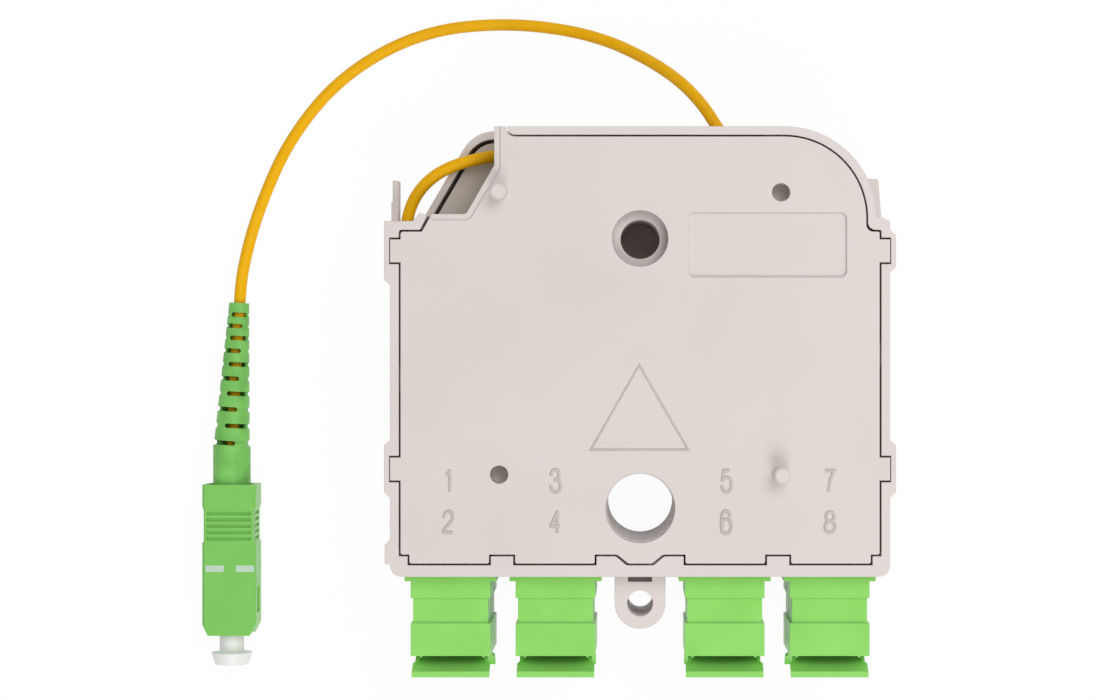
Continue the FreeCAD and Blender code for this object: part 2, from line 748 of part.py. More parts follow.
def split_sleeve():
    outer = ferrule_diameter / 2 + sleeve_wall
    tube = Part.makeCylinder(outer, sleeve_length, V(0, -sleeve_length / 2, 0), V(0, 1, 0))
    bore = Part.makeCylinder(ferrule_diameter / 2 + 0.01, sleeve_length + 2,
                             V(0, -sleeve_length / 2 - 1, 0), V(0, 1, 0))
    slit = block(-0.25, 0.25, -sleeve_length, sleeve_length, 0, outer + 1)
    return tube.cut([bore, slit])


def inner_plug():
    """Short factory plug on the fibre side: a nose between the holder's hooks, a wide body
    in the adapter's mouth and a round tail for its boot."""
    wide = plug_width / 2
    tall = plug_height / 2
    end = inner_plug_start + inner_plug_length
    nose = block(-3.0, 3.0, inner_plug_start, nose_end + 1, -3.0, 3.0)
    body = block(-wide, wide, nose_end, end, -tall, tall)
    tail = Part.makeCylinder(2.4, 2.0, V(0, end - 0.5, 0), V(0, 1, 0))
    hollow = Part.makeCylinder(2.5, nose_end - inner_plug_start - 2,
                               V(0, inner_plug_start, 0), V(0, 1, 0))
    bore = Part.makeCylinder(ferrule_diameter / 2 + 0.02, inner_plug_length + 6,
                             V(0, inner_plug_start, 0), V(0, 1, 0))
    return join([nose, body, tail]).cut([hollow, bore])


def inner_boot():
    start = inner_plug_start + inner_plug_length + 1.5
    cone = Part.makeCone(2.4, 0.95, inner_boot_end - start, V(0, start, 0), V(0, 1, 0))
    hole = Part.makeCylinder(lead_diameter / 2 + 0.05, 40, V(0, start - 1, 0), V(0, 1, 0))
    return cone.cut(hole)


def inner_ferrule():
    return Part.makeCylinder(ferrule_diameter / 2, 14.0, V(0, 0.05, 0), V(0, 1, 0))


# ------------------------------------------------------------------ tray, splitter, fibres
def fibre_tray():
    """Plate on the rests with a collar round the fixing boss, cord guides and fibre ways."""
    outline = cavity_outline(tray_gap)
    outline = [(x, max(y, tray_front)) + tuple(rest) for x, y, *rest in outline]
    tray = plate(outline, tray_bottom, tray_top)
    boss = fixing_bore + 2 * fixing_wall + 0.4
    pieces = [tray, post(0, fixing_y, tray_bottom, tray_top + 3.0, boss + 2.0)]
    for x, y in ((17.85 - half_width, 51.0), (half_width - 21.35, 52.5),
                 (20.35 - half_width, 64.5)):
        pieces.append(post(x, y, tray_bottom, tray_top + 4.0, 2.4))
    pieces.append(block(clamp_x[0] + 0.5, clamp_x[1] - 0.5, clamp_y - 2.9, clamp_y - 2.1,
                        tray_bottom, tray_top + 3.2))
    tray = join(pieces)
    cuts = [post(0, fixing_y, 0, body_depth, boss)]
    for low_x, high_x, low_y, high_y in ((4.85 - half_width, 12.85 - half_width, 46.0, 58.5),
                                         (half_width - 14.85, half_width - 7.35, 49.5, 63.5)):
        cuts.append(plate([(low_x, low_y, 2), (high_x, low_y, 2), (high_x, high_y, 2),
                           (low_x, high_y, 2)], 0, body_depth))
    return tray.cut(cuts).removeSplitter()


def cord_clamp():
    """Block crimped on the cord's end; the buffered fibre leaves its far face."""
    x0, x1 = clamp_x
    body = block(x0, x1, clamp_y - 2.0, clamp_y + 2.0, tray_top + 0.02, tray_top + 3.8)
    cord_hole = rod(V(x0 - 1, clamp_y, cord_top_z), V(x0 + 4, clamp_y, cord_top_z),
                    cord_diameter + 0.1)
    fibre_hole = rod(V(x0, clamp_y, cord_top_z), V(x1 + 1, clamp_y, cord_top_z),
                     lead_diameter + 0.1)
    return body.cut([cord_hole, fibre_hole])


def splitter_package():
    length, width, height = splitter_size
    tube = block(splitter_x, splitter_x + length, splitter_y - width / 2,
                 splitter_y + width / 2, splitter_bottom, splitter_bottom + height)
    long_edges = [edge for edge in tube.Edges if abs(edge.Length - length) < 0.01]
    return tube.makeFillet(0.4, long_edges)


def input_fibre():
    """Buffered fibre from the clamp, once round above the tray and down into the splitter."""
    middle = splitter_bottom + splitter_size[2] / 2
    left = -half_width
    right = half_width
    route = [(clamp_x[0] + 4.2, clamp_y, cord_top_z), (clamp_x[1] + 3, clamp_y, cord_top_z),
             (14.0, 68.0, 18.6), (24.0, 65.6, 19.6), (right - 8.75, 58.5, 19.8),
             (right - 7.35, 48.5, 19.6), (right - 15.35, 42.8, 19.4), (11.0, 43.6, 19.6),
             (-5.0, 42.8, 19.4), (left + 20.35, 43.4, 19.6), (left + 9.85, 42.9, 19.4),
             (left + 6.75, 49.0, 17.4), (left + 7.95, 56.0, 11.6), (left + 9.75, 62.6, 8.0),
             (splitter_x - 5.0, splitter_y, middle), (splitter_x, splitter_y, middle)]
    return tube_along(route, lead_diameter, "input fibre")


def output_fibres():
    """Eight buffered outputs, four to each row, fanned from the splitter's far end."""
    start_x = splitter_x + splitter_size[0]
    leads = []
    for row in (-1, 1):
        plug_height_z = row_middle + row * row_pitch / 2
        start_z = splitter_bottom + (1.1 if row < 0 else 3.0)
        for rank in range(4):
            column = 3 - rank
            x = adapter_columns[3] - rank * lead_step
            start_y = splitter_y + (1.5 - rank) * 0.95
            turn_y = fan_y + fan_step * rank
            route = [(start_x, start_y, start_z), (x, start_y, start_z),
                     (x, turn_y + fan_rise, plug_height_z)]
            if rank:
                route += [(x, turn_y, plug_height_z),
                          (adapter_columns[column], turn_y, plug_height_z)]
            route.append((adapter_columns[column], inner_boot_end - 1, plug_height_z))
            leads.append(tube_along(route, lead_diameter))
    return Part.makeCompound(leads)


# ------------------------------------------------------------------ cord
cord_route = [
    (clamp_x[0] + 3.8, clamp_y, cord_top_z), (-14.0, clamp_y, cord_top_z),
    (15.85 - half_width, 68.9, 16.8), (5.45 - half_width, 66.2, 16.9),
    (1.35 - half_width, 58.6, 16.2), (2.45 - half_width, 47.5, 15.5),
    (11.35 - half_width, 39.6, 15.3),
    (-16.0, 39.2, 15.3), (-2.0, 39.9, 15.3), (12.0, 39.3, 15.3), (22.5, 43.0, 15.3),
    (25.6, 53.0, 15.3), (20.5, 62.0, 15.4), (14.2, 71.0, 15.6), (9.6, 79.4, 14.2),
    (2.6, 86.2, 7.4), (-8.0, 91.6, 1.7), (-22.6, 93.4, 1.05), (-37.6, 91.6, 1.05),
    (-51.0, 84.2, 1.05), (-60.2, 73.2, 1.05), (-65.4, 60.6, 1.7), (-67.5, 50.6, 3.5),
    (-67.83, 44.6, plug_z), (plug_x, 21.0, plug_z), (plug_x, 12.0, plug_z)]


def cord():
    return tube_along(cord_route, cord_diameter, "cord")


# ------------------------------------------------------------------ plug
def plug_grip():
    """Outer sleeve that is pulled to release the plug."""
    half = plug_width / 2
    low, high = plug_front_y, grip_rear_y
    rib_low, rib_high = 4.15, 9.95
    waist = 0.3
    side_outline = [(-half + 1.0, low), (half - 1.0, low), (half, low + 1.9), (half, rib_low),
                    (half - waist, rib_low + 0.3), (half - waist, rib_high - 0.3),
                    (half, rib_high + 0.4), (half, high), (-half, high),
                    (-half, rib_high + 0.4), (-half + waist, rib_high - 0.3),
                    (-half + waist, rib_low + 0.3), (-half, rib_low), (-half, low + 1.9)]
    sleeve = plate([(x + plug_x, y) for x, y in side_outline], 0, plug_height)
    edge = 0.5
    section = [V(plug_x + x, low - 1, z) for x, z in
               ((-half + edge, 0), (half - edge, 0), (half, edge), (half, plug_height - edge),
                (half - edge, plug_height), (-half + edge, plug_height),
                (-half, plug_height - edge), (-half, edge))]
    bar = Part.Face(Part.makePolygon(section + section[:1])).extrude(V(0, grip_length + 2, 0))
    sleeve = sleeve.common(bar)
    cuts = [block(plug_x - half + grip_wall, plug_x + half - grip_wall, low - 1, high + 1,
                  plug_z - frame_half_height() - 0.1, plug_z + frame_half_height() + 0.1)]
    cuts.append(Part.makeCylinder(boot_base_diameter / 2 + 0.15, grip_counterbore + 1,
                                  V(plug_x, high - grip_counterbore, plug_z), V(0, 1, 0)))
    pitch = 1.06
    for i in range(5):
        y = rib_low + 0.75 + i * pitch
        for z0, z1 in ((plug_height - 0.35, plug_height + 1), (-1, 0.35)):
            cuts.append(block(plug_x - half + 0.8, plug_x + half - 0.8, y - 0.28, y + 0.28,
                              z0, z1))
        for side in (-1, 1):
            x0 = min(plug_x + side * (half - waist - 0.3), plug_x + side * (half + 1))
            cuts.append(block(x0, x0 + 1.3 + waist, y - 0.28, y + 0.28, 1.0, plug_height - 1.0))
    for side in (-1, 1):
        x0 = min(plug_x + side * (half - 2), plug_x + side * (half + 1))
        cuts.append(block(x0, x0 + 3, -7.7, -3.4, plug_z - 1.5, plug_z + 1.5))
    return sleeve.cut(cuts).removeSplitter()


def frame_half_height():
    return plug_height / 2 - grip_wall - 0.1


def plug_frame():
    """Inner frame: holds the ferrule, its spring and, in the side windows, the latch ramps."""
    half = plug_width / 2 - grip_wall - 0.1
    rise = frame_half_height()
    low = plug_front_y + 0.5
    high = grip_rear_y - 3.0
    body = block(plug_x - half, plug_x + half, low, high, plug_z - rise, plug_z + rise)
    ramps = []
    for side in (-1, 1):
        outline = [(plug_x + side * (half - 0.2), -6.9), (plug_x + side * (half + 0.5), -6.3),
                   (plug_x + side * (half + 0.5), -5.6), (plug_x + side * (half - 0.2), -4.2)]
        ramps.append(plate(outline, plug_z - 1.2, plug_z + 1.2))
    body = join([body] + ramps)
    axis = V(plug_x, 0, plug_z)
    mouth = block(plug_x - half + 0.6, plug_x + half - 0.6, low - 1, low + 6.5,
                  plug_z - rise + 0.5, plug_z + rise - 0.5)
    nose = Part.makeCylinder(ferrule_diameter / 2 + 0.06, 20, axis + V(0, low, 0), V(0, 1, 0))
    chamber = Part.makeCylinder(2.35, high - low - 9.5, axis + V(0, low + 8.5, 0), V(0, 1, 0))
    tail = Part.makeCylinder(1.9, 10, axis + V(0, high - 4, 0), V(0, 1, 0))
    return body.cut([mouth, nose, chamber, tail])


def ferrule_unit():
    """White ferrule pressed in its metal flange; slides back against the spring."""
    front = plug_front_y - ferrule_proud
    axis = V(plug_x, front, plug_z)
    pin = Part.makeCylinder(ferrule_diameter / 2, 10.0, axis, V(0, 1, 0))
    flange_y = plug_front_y + 0.5 + 8.5
    flange = Part.makeCylinder(2.15, 1.8, V(plug_x, flange_y + 0.05, plug_z), V(0, 1, 0))
    shank = Part.makeCylinder(1.2, 3.5, V(plug_x, flange_y + 1, plug_z), V(0, 1, 0))
    neck = Part.makeCylinder(1.2, 3.0, V(plug_x, flange_y - 1.5, plug_z), V(0, 1, 0))
    bore = Part.makeCylinder(0.5, 30, V(plug_x, flange_y, plug_z), V(0, 1, 0))
    return join([pin, flange, shank, neck]).cut(bore)


def ferrule_spring():
    """Compression spring behind the ferrule's flange, wound in short straight runs."""
    wire = 0.5
    radius = 1.75
    turns = 5
    runs = 12
    length = 7.0
    start_y = plug_front_y + 0.5 + 8.5 + 1.85 + 1.2
    points = []
    for i in range(turns * runs + 1):
        angle = 2 * math.pi * i / runs
        points.append(V(plug_x + radius * math.cos(angle), start_y + length * i / (turns * runs),
                        plug_z + radius * math.sin(angle)))
    half = wire / 2
    corners = [points[0] + V(dx, dy, 0) for dx, dy in
               ((-half, -half), (half, -half), (half, half), (-half, half))]
    section = Part.makePolygon(corners + corners[:1])
    return Part.makePolygon(points).makePipeShell([section], True, False, 1)


def crimp_ring():
    """Metal sleeve on the frame's tail that grips the cord's jacket."""
    start = grip_rear_y - 3.0 + 0.05
    tube = Part.makeCylinder(2.5, 8.0, V(plug_x, start, plug_z), V(0, 1, 0))
    bore = Part.makeCylinder(cord_diameter / 2 + 0.06, 20, V(plug_x, start - 1, plug_z),
                             V(0, 1, 0))
    return tube.cut(bore)


def boot_axis(distance):
    """Point on the boot's axis, which leans a little past its straight root."""
    lean = math.radians(boot_lean)
    along = distance - boot_root
    return V(plug_x + along * math.sin(lean),
             grip_rear_y + 0.05 + boot_root + along * math.cos(lean), plug_z)


def boot():
    """Tapered strain relief with slots cut from above and below, to each side in turn."""
    root_y = grip_rear_y - boot_inset
    overlap = 1.0
    heading = boot_axis(boot_length) - boot_axis(boot_root)
    taper = (boot_shoulder_diameter - boot_tip_diameter) / (boot_length - boot_root)
    body = join([
        Part.makeCylinder(boot_base_diameter / 2, boot_root + boot_inset,
                          V(plug_x, root_y, plug_z), V(0, 1, 0)),
        Part.makeCone((boot_shoulder_diameter + taper * overlap) / 2, boot_tip_diameter / 2,
                      boot_length - boot_root + overlap, boot_axis(boot_root - overlap),
                      heading)])
    passage = cord_diameter / 2 + 0.2
    cuts = [Part.makeCylinder(2.6, 6.9, V(plug_x, root_y - 0.5, plug_z), V(0, 1, 0)),
            Part.makeCylinder(passage + 0.3, boot_root - 4.0, V(plug_x, grip_rear_y + 4.5, plug_z),
                              V(0, 1, 0)),
            rod(boot_axis(boot_root - overlap), boot_axis(boot_length + 1), 2 * passage),
            Part.makeCone(boot_passage / 2, passage + 0.01, boot_length - boot_root - 1.0,
                          boot_axis(boot_root), heading)]
    for k in range(boot_slots):
        side = -1 if k % 2 else 1
        for step, upper in ((k, True), (k + 0.5, False)):
            from_tip = 2.0 + 1.85 * step + 0.062 * step * step
            radius = (boot_tip_diameter + taper * from_tip) / 2
            part = boot_slot(side, radius, upper)
            if upper:
                part = part.fuse(boot_nicks(radius, from_tip))
            part.rotate(V(0, 0, 0), V(0, 0, 1), -boot_lean)
            part.translate(boot_axis(boot_length - from_tip))
            cuts.append(part)
    return body.cut(cuts)


def boot_slot(side, radius, upper):
    """Slot from just past the axis out through one side, in the upper or the lower half."""
    half = boot_slot_width / 2
    start = -side * boot_slot_reach
    low = min(start, start + side * (radius + 2))
    slot = block(low, low + radius + 2, -half, half, 0.3, 5)
    slot = slot.fuse(post(start, 0, 0.3, 5, boot_slot_width))
    return slot if upper else slot.mirror(V(0, 0, 0), V(0, 0, 1))


def boot_nicks(radius, from_tip):
    """Small round nick in the boot's outline on each side of a slot."""
    nick, growth = boot_nick
    nick += growth * from_tip
    return [post(end * (radius + 0.05), 0, -5, 5, 2 * nick) for end in (-1, 1)]


def dust_cap():
    """Soft cap pushed over the ferrule, with a flared end."""
    front = plug_front_y
    profile = [V(0, front + 3.6, 0), V(cap_stem_diameter / 2, front + 3.6, 0),
               V(cap_stem_diameter / 2, front - 2.9, 0),
               V(cap_head_diameter / 2, front - 3.1, 0),
               V(cap_head_diameter / 2 - 0.1, front - 3.7, 0),
               V(cap_head_diameter / 2 - 0.55, front - 5.1, 0), V(0, front - 5.1, 0)]
    cap = Part.Face(Part.makePolygon(profile + profile[:1])).revolve(V(0, 0, 0), V(0, 1, 0), 360)
    bore = Part.makeCylinder(ferrule_diameter / 2 + 0.05, 9, V(0, front - 0.8, 0), V(0, 1, 0))
    cap = cap.cut(bore)
    cap.translate(V(plug_x, 0, plug_z))
    return cap


# ------------------------------------------------------------------ build
def adapter_group(shape):
    return Part.makeCompound([seat(shape, column, row)
                              for row in (1, -1) for column in range(4)])


def build():
    nodes = {
        "base_shell": base_shell(),
        "cover": cover(),
        "fibre_tray": fibre_tray(),
        "splitter_package": splitter_package(),
        "input_fibre": input_fibre(),
        "output_fibres": output_fibres(),
        "cord_clamp": cord_clamp(),
        "sleeve_holders": adapter_group(sleeve_holder()),
        "split_sleeves": adapter_group(split_sleeve()),
        "inner_plugs": adapter_group(inner_plug()),
        "inner_boots": adapter_group(inner_boot()),
        "inner_ferrules": adapter_group(inner_ferrule()),
        "cord": cord(),
        "boot": boot(),
        "crimp_ring": crimp_ring(),
        "plug_frame": plug_frame(),
        "plug_grip": plug_grip(),
        "ferrule": ferrule_unit(),
        "ferrule_spring": ferrule_spring(),
        "dust_cap": dust_cap(),
    }
    body = adapter_body()
    door = shutter()
    spring = shutter_spring()
    for row, first in ((1, 1), (-1, 2)):
        for column in range(4):
            number = first + 2 * column
            nodes[f"adapter_{number}"] = seat(body, column, row)
            nodes[f"shutter_{number}"] = seat(door, column, row)
            nodes[f"shutter_spring_{number}"] = seat(spring, column, row)
    return nodes


def main():
    os.makedirs("parts", exist_ok=True)
    for name, shape in build().items():
        if not shape.isValid():
            print("invalid", name)
        shape.translate(V(0, -through_y, 0))
        print(name, len(shape.Solids), round(shape.Volume, 2))
        shape.exportStep(f"parts/{name}.step")


main()
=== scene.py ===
"""Looks of a flat fibre splitter cassette: finishes, raised marks, cord, prints, light and camera.

Lengths are metres in the part's own frame: the origin is the through hole's axis on the back face,
+Y runs to the rear wall, away from the adapters, and +Z out of the cover.
"""
import math

import bmesh
import bpy
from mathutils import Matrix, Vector


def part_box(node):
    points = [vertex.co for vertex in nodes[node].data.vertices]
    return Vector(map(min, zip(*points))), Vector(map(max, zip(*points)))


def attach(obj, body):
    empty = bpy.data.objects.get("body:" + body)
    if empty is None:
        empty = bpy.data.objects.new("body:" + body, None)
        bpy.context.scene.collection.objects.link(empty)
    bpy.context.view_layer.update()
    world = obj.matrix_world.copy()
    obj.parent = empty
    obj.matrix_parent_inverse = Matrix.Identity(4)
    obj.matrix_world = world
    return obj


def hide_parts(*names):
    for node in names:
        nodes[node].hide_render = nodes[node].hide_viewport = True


bl_info = {
    "name": "Fibre splitter cassette looks",
    "version": (1, 0, 0),
    "blender": (4, 5, 0),
    "location": "3D View > Sidebar > Splitter",
    "description": "Finishes, raised marks, cord and stage for a fibre splitter cassette",
    "category": "Object",
}

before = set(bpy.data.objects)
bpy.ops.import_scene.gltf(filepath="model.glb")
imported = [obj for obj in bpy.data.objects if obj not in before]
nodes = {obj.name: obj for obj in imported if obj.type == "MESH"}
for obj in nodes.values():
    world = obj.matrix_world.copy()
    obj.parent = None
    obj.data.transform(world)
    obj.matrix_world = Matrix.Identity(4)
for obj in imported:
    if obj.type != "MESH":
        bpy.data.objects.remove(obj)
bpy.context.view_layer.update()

MM = 0.001
FRONT_EDGE_Y = -11.1          # mm, the shell's front edge in the part's frame
PEG_HEIGHT = 4.0              # mm, the stacking pegs above the cover's face
COVER_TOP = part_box("cover")[1].z - PEG_HEIGHT * MM
ADAPTERS = [name for name in nodes if name.startswith("adapter_")]
SPRINGS = [name for name in nodes if name.startswith("shutter_spring")]
SHUTTERS = [name for name in nodes if name.startswith("shutter_") and name not in SPRINGS]

# The cord's route in mm, with y counted from the shell's front edge.
CLAMP_Z = 16.6
PLUG_X = -69.1
PLUG_Z = 3.7
CORD_ROUTE = [
    (-2.2, 68.6, CLAMP_Z), (-14.0, 68.6, CLAMP_Z), (-24.5, 68.8, 16.8),
    (-34.4, 65.7, 16.9), (-39.0, 58.5, 16.2), (-37.9, 47.5, 15.5), (-29.0, 39.6, 15.3),
    (-16.0, 39.2, 15.3), (-2.0, 39.9, 15.3), (12.0, 39.3, 15.3), (22.5, 43.0, 15.3),
    (25.6, 53.0, 15.3), (20.5, 62.0, 15.4), (14.2, 71.0, 15.6), (9.2, 79.0, 14.2),
    (2.0, 85.2, 7.4), (-8.3, 90.4, 1.7), (-22.6, 92.4, 1.05), (-37.3, 90.8, 1.05),
    (-50.5, 83.6, 1.05), (-59.6, 72.8, 1.05), (-64.9, 60.5, 1.7), (-67.3, 50.6, 3.5),
    (-67.83, 44.6, PLUG_Z), (PLUG_X, 21.0, PLUG_Z), (PLUG_X, 12.0, PLUG_Z)]

# Places in mm on the cover, with y counted from the shell's front edge: the middles of the port
# numbers, which run down each adapter column in turn, and the corners of the triangle.
NUMBER_COLUMNS = (-30.95, -13.7, 13.9, 30.65)
NUMBER_ROWS = (15.5, 8.8)
TRIANGLE = ((-7.9, 20.5), (7.8, 20.5), (-0.1, 34.1))

# Pale printed bars on the grip in mm: both ends along x, the middle along y, and their size.
GRIP_MARKS = {"grip_mark_left": (-73.0, -69.9), "grip_mark_right": (-67.9, -64.8)}
MARK_Y = -0.12
MARK_BREADTH = 1.1
MARK_THICKNESS = 0.05

# The stage: where the camera looks in mm, its film and framing, and each light's place and size
# in metres. Both lights look at a point just behind the front edge.
VIEW_MIDDLE_Y = 36.6
FILM_WIDTH = 36.0
CAMERA_SHIFT = -0.084         # the shell stands right of the picture's middle
FLOOR_HALF = 1.5
FLOOR_DROP = 0.05 * MM
FLOOR_GLOW = 0.96             # the rest of what the camera sees is paint, which takes shadows
KEY_LIGHT = ((0.16, -0.62, 0.78), 0.55)
TOP_LIGHT = ((0.3, 0.4, 0.88), 0.6)
LIGHT_AIM = Vector((0.0, 0.02, 0.0))

# Port numbers as pen strokes in a box one wide and two high. A point given twice is a sharp turn.
DIGIT_STROKES = {
    "1": [[(0.3, 1.6), (0.5, 1.72), (0.68, 2.0), (0.68, 2.0), (0.68, 0.0)]],
    "2": [[(0.02, 1.45), (0.05, 2.0), (0.95, 2.12), (1.05, 1.3), (0.55, 0.75), (0.0, 0.3),
           (0.0, 0.0), (0.0, 0.0), (1.0, 0.0)]],
    "3": [[(0.02, 1.5), (0.08, 2.0), (0.9, 2.12), (1.0, 1.12), (0.4, 1.08)],
          [(0.4, 1.08), (1.15, 1.12), (1.08, -0.12), (0.1, -0.1), (0.0, 0.5)]],
    "4": [[(0.75, 0.0), (0.75, 2.0), (0.75, 2.0), (0.0, 0.6), (0.0, 0.6), (1.05, 0.6)]],
    "5": [[(0.92, 2.0), (0.22, 2.0), (0.22, 2.0), (0.06, 1.0), (0.06, 1.0), (0.5, 1.4),
           (1.1, 1.2), (1.08, -0.12), (0.1, -0.1), (0.0, 0.5)]],
    "6": [[(0.95, 1.55), (0.85, 2.1), (0.0, 2.1), (-0.05, 0.7), (0.0, -0.05), (0.95, -0.1),
           (1.1, 0.7), (0.85, 1.3), (0.1, 1.3), (0.02, 0.6)]],
    "7": [[(0.0, 2.0), (1.0, 2.0), (1.0, 2.0), (0.45, 1.1), (0.35, 0.0)]],
    "8": [[(0.5, 1.08), (0.05, 1.12), (0.05, 2.0), (0.95, 2.0), (0.95, 1.12), (0.5, 1.08)],
          [(0.5, 1.08), (-0.08, 1.05), (-0.05, 0.0), (1.05, 0.0), (1.08, 1.05), (0.5, 1.08)]],
}


# ------------------------------------------------------------------ sizes and colours
class SplitterCordSettings(bpy.types.PropertyGroup):
    diameter: bpy.props.FloatProperty(
        name="Diameter", description="Outside of the cord's jacket", default=2.0 * MM,
        unit="LENGTH")
    length: bpy.props.FloatProperty(
        name="Length", description="Real length from the clamp to the plug", default=0.2995,
        unit="LENGTH")
    colour: bpy.props.StringProperty(
        name="Colour", description="Jacket colour as an sRGB hex value", default="F3B804")


class SplitterShellSettings(bpy.types.PropertyGroup):
    shell_colour: bpy.props.StringProperty(
        name="Shell", description="Base shell's colour as an sRGB hex value", default="DED5D1")
    cover_colour: bpy.props.StringProperty(
        name="Cover", description="Cover's colour as an sRGB hex value", default="DCD4CF")
    # Painted shade: the ribs are the cover's own plastic, given a darker colour to stand for the
    # shade on their sides.
    rib_painted_shade_colour: bpy.props.StringProperty(
        name="Ribs", description="Raised marks' colour as an sRGB hex value", default="CBC2BC")
    tray_colour: bpy.props.StringProperty(
        name="Tray", description="Fibre tray's colour as an sRGB hex value", default="DCD2C6")
    edge: bpy.props.FloatProperty(
        name="Edge", description="Radius that moulded edges look softened to",
        default=0.25 * MM, unit="LENGTH")
    rib: bpy.props.FloatProperty(
        name="Rib", description="Thickness of the round strokes that form the numbers",
        default=0.52 * MM, unit="LENGTH")
    rib_rise: bpy.props.FloatProperty(
        name="Rib rise", description="How far the strokes stand above the cover",
        default=0.27 * MM, unit="LENGTH")
    digit_height: bpy.props.FloatProperty(
        name="Digit height", description="Height of the raised port numbers",
        default=3.3 * MM, unit="LENGTH")
    digit_width: bpy.props.FloatProperty(
        name="Digit width", description="Width of the raised port numbers",
        default=1.4 * MM, unit="LENGTH")


class SplitterGreenSettings(bpy.types.PropertyGroup):
    adapter_colour: bpy.props.StringProperty(
        name="Adapter", description="Adapters' colour as an sRGB hex value", default="94DD6E")
    plug_colour: bpy.props.StringProperty(
        name="Plug", description="Plug grip's colour as an sRGB hex value", default="84CC64")
    boot_colour: bpy.props.StringProperty(
        name="Boot", description="Boot's colour as an sRGB hex value", default="80CD62")
    mark_colour: bpy.props.StringProperty(
        name="Mark", description="Pale marks on the grip as an sRGB hex value", default="C1DDC4")


class SplitterStageSettings(bpy.types.PropertyGroup):
    camera_height: bpy.props.FloatProperty(
        name="Camera height", description="Camera above the cover's face", default=0.43,
        unit="LENGTH")
    view_width: bpy.props.FloatProperty(
        name="View width", description="What the picture spans at the cover's face",
        default=176.8 * MM, unit="LENGTH")
    key_power: bpy.props.FloatProperty(
        name="Key", description="Power of the large soft light before the adapters",
        default=3.9, unit="POWER")
    top_power: bpy.props.FloatProperty(
        name="Top", description="Power of the soft light above the rear wall", default=3.6,
        unit="POWER")
    sky: bpy.props.FloatProperty(
        name="Sky", description="Even light from all around", default=0.46, min=0.0)


# ------------------------------------------------------------------ material tools
def linear(hex_colour, alpha=1.0):
    """An sRGB hex value as the linear colour that a shader takes."""
    channels = []
    for start in (0, 2, 4):
        value = int(hex_colour[start:start + 2], 16) / 255
        channels.append(value / 12.92 if value <= 0.04045 else ((value + 0.055) / 1.055) ** 2.4)
    return (*channels, alpha)


def add_node(tree, kind, links=None, **settings):
    """Adds a node, sets its properties, and gives each named input a value or a link."""
    node = tree.nodes.new(kind)
    for name, value in settings.items():
        setattr(node, name, value)
    for name, value in (links or {}).items():
        if isinstance(value, bpy.types.NodeSocket):
            tree.links.new(value, node.inputs[name])
        else:
            node.inputs[name].default_value = value
    return node


def across(size_mm):
    """Pattern scale that gives one feature of this size, for coordinates in metres."""
    return 1.0 / (size_mm * MM)


def start_material(name):
    """New empty material, its node tree and the place that its patterns read."""
    material = bpy.data.materials.new(name)
    material.use_nodes = True
    tree = material.node_tree
    tree.nodes.clear()
    place = add_node(tree, "ShaderNodeTexCoord").outputs["Object"]
    return material, tree, place


def cloudy_colour(tree, place, colour, shade, size_mm):
    """Two near colours in soft patches."""
    patches = add_node(tree, "ShaderNodeTexNoise",
                       {"Vector": place, "Scale": across(size_mm), "Detail": 3.0,
                        "Roughness": 0.55})
    spread = add_node(tree, "ShaderNodeMapRange",
                      {"Value": patches.outputs["Fac"], "From Min": 0.3, "From Max": 0.7})
    return add_node(tree, "ShaderNodeMix",
                    {"Factor": spread.outputs["Result"], 6: linear(colour), 7: linear(shade)},
                    data_type="RGBA").outputs[2]


def soft_edges_painted_highlight(tree, base, edge_highlight_tint, radius, amount):
    """Paints a highlight: lightens the colour where a moulded edge turns, and returns it with the
    softened normal.
    """
    soft = add_node(tree, "ShaderNodeBevel", {"Radius": radius}, samples=6)
    sharp = add_node(tree, "ShaderNodeNewGeometry")
    turn = add_node(tree, "ShaderNodeVectorMath",
                    {0: soft.outputs["Normal"], 1: sharp.outputs["Normal"]},
                    operation="DOT_PRODUCT")
    # Painted highlight: where the softened normal turns away from the true one, the colour is
    # mixed towards a lighter one, as if the edge caught the light.
    edge = add_node(tree, "ShaderNodeMapRange",
                    {"Value": turn.outputs["Value"], "From Min": 0.995, "From Max": 0.8,
                     "To Min": 0.0, "To Max": amount})
    mixed = add_node(tree, "ShaderNodeMix",
                     {"Factor": edge.outputs["Result"], 6: base, 7: linear(edge_highlight_tint)},
                     data_type="RGBA")
    return mixed.outputs[2], soft.outputs["Normal"]


def grain(tree, place, normal, size_mm, height_mm, strength=1.0):
    """Fine bump over a softened normal."""
    texture = add_node(tree, "ShaderNodeTexNoise",
                       {"Vector": place, "Scale": across(size_mm), "Detail": 2.0,
                        "Roughness": 0.6})
    bump = add_node(tree, "ShaderNodeBump",
                    {"Height": texture.outputs["Fac"], "Strength": strength,
                     "Distance": height_mm * MM, "Normal": normal})
    return bump.outputs["Normal"]


def sheen_spread(tree, place, low, high, size_mm):
    """Roughness that wanders between two values."""
    texture = add_node(tree, "ShaderNodeTexNoise",
                       {"Vector": place, "Scale": across(size_mm), "Detail": 2.0})
    return add_node(tree, "ShaderNodeMapRange",
                    {"Value": texture.outputs["Fac"], "From Min": 0.3, "From Max": 0.7,
                     "To Min": low, "To Max": high}).outputs["Result"]


def close_material(tree, material, links):
    """Puts the finished surface on the material."""
    shader = add_node(tree, "ShaderNodeBsdfPrincipled", links)
    add_node(tree, "ShaderNodeOutputMaterial", {"Surface": shader.outputs["BSDF"]})
    return material


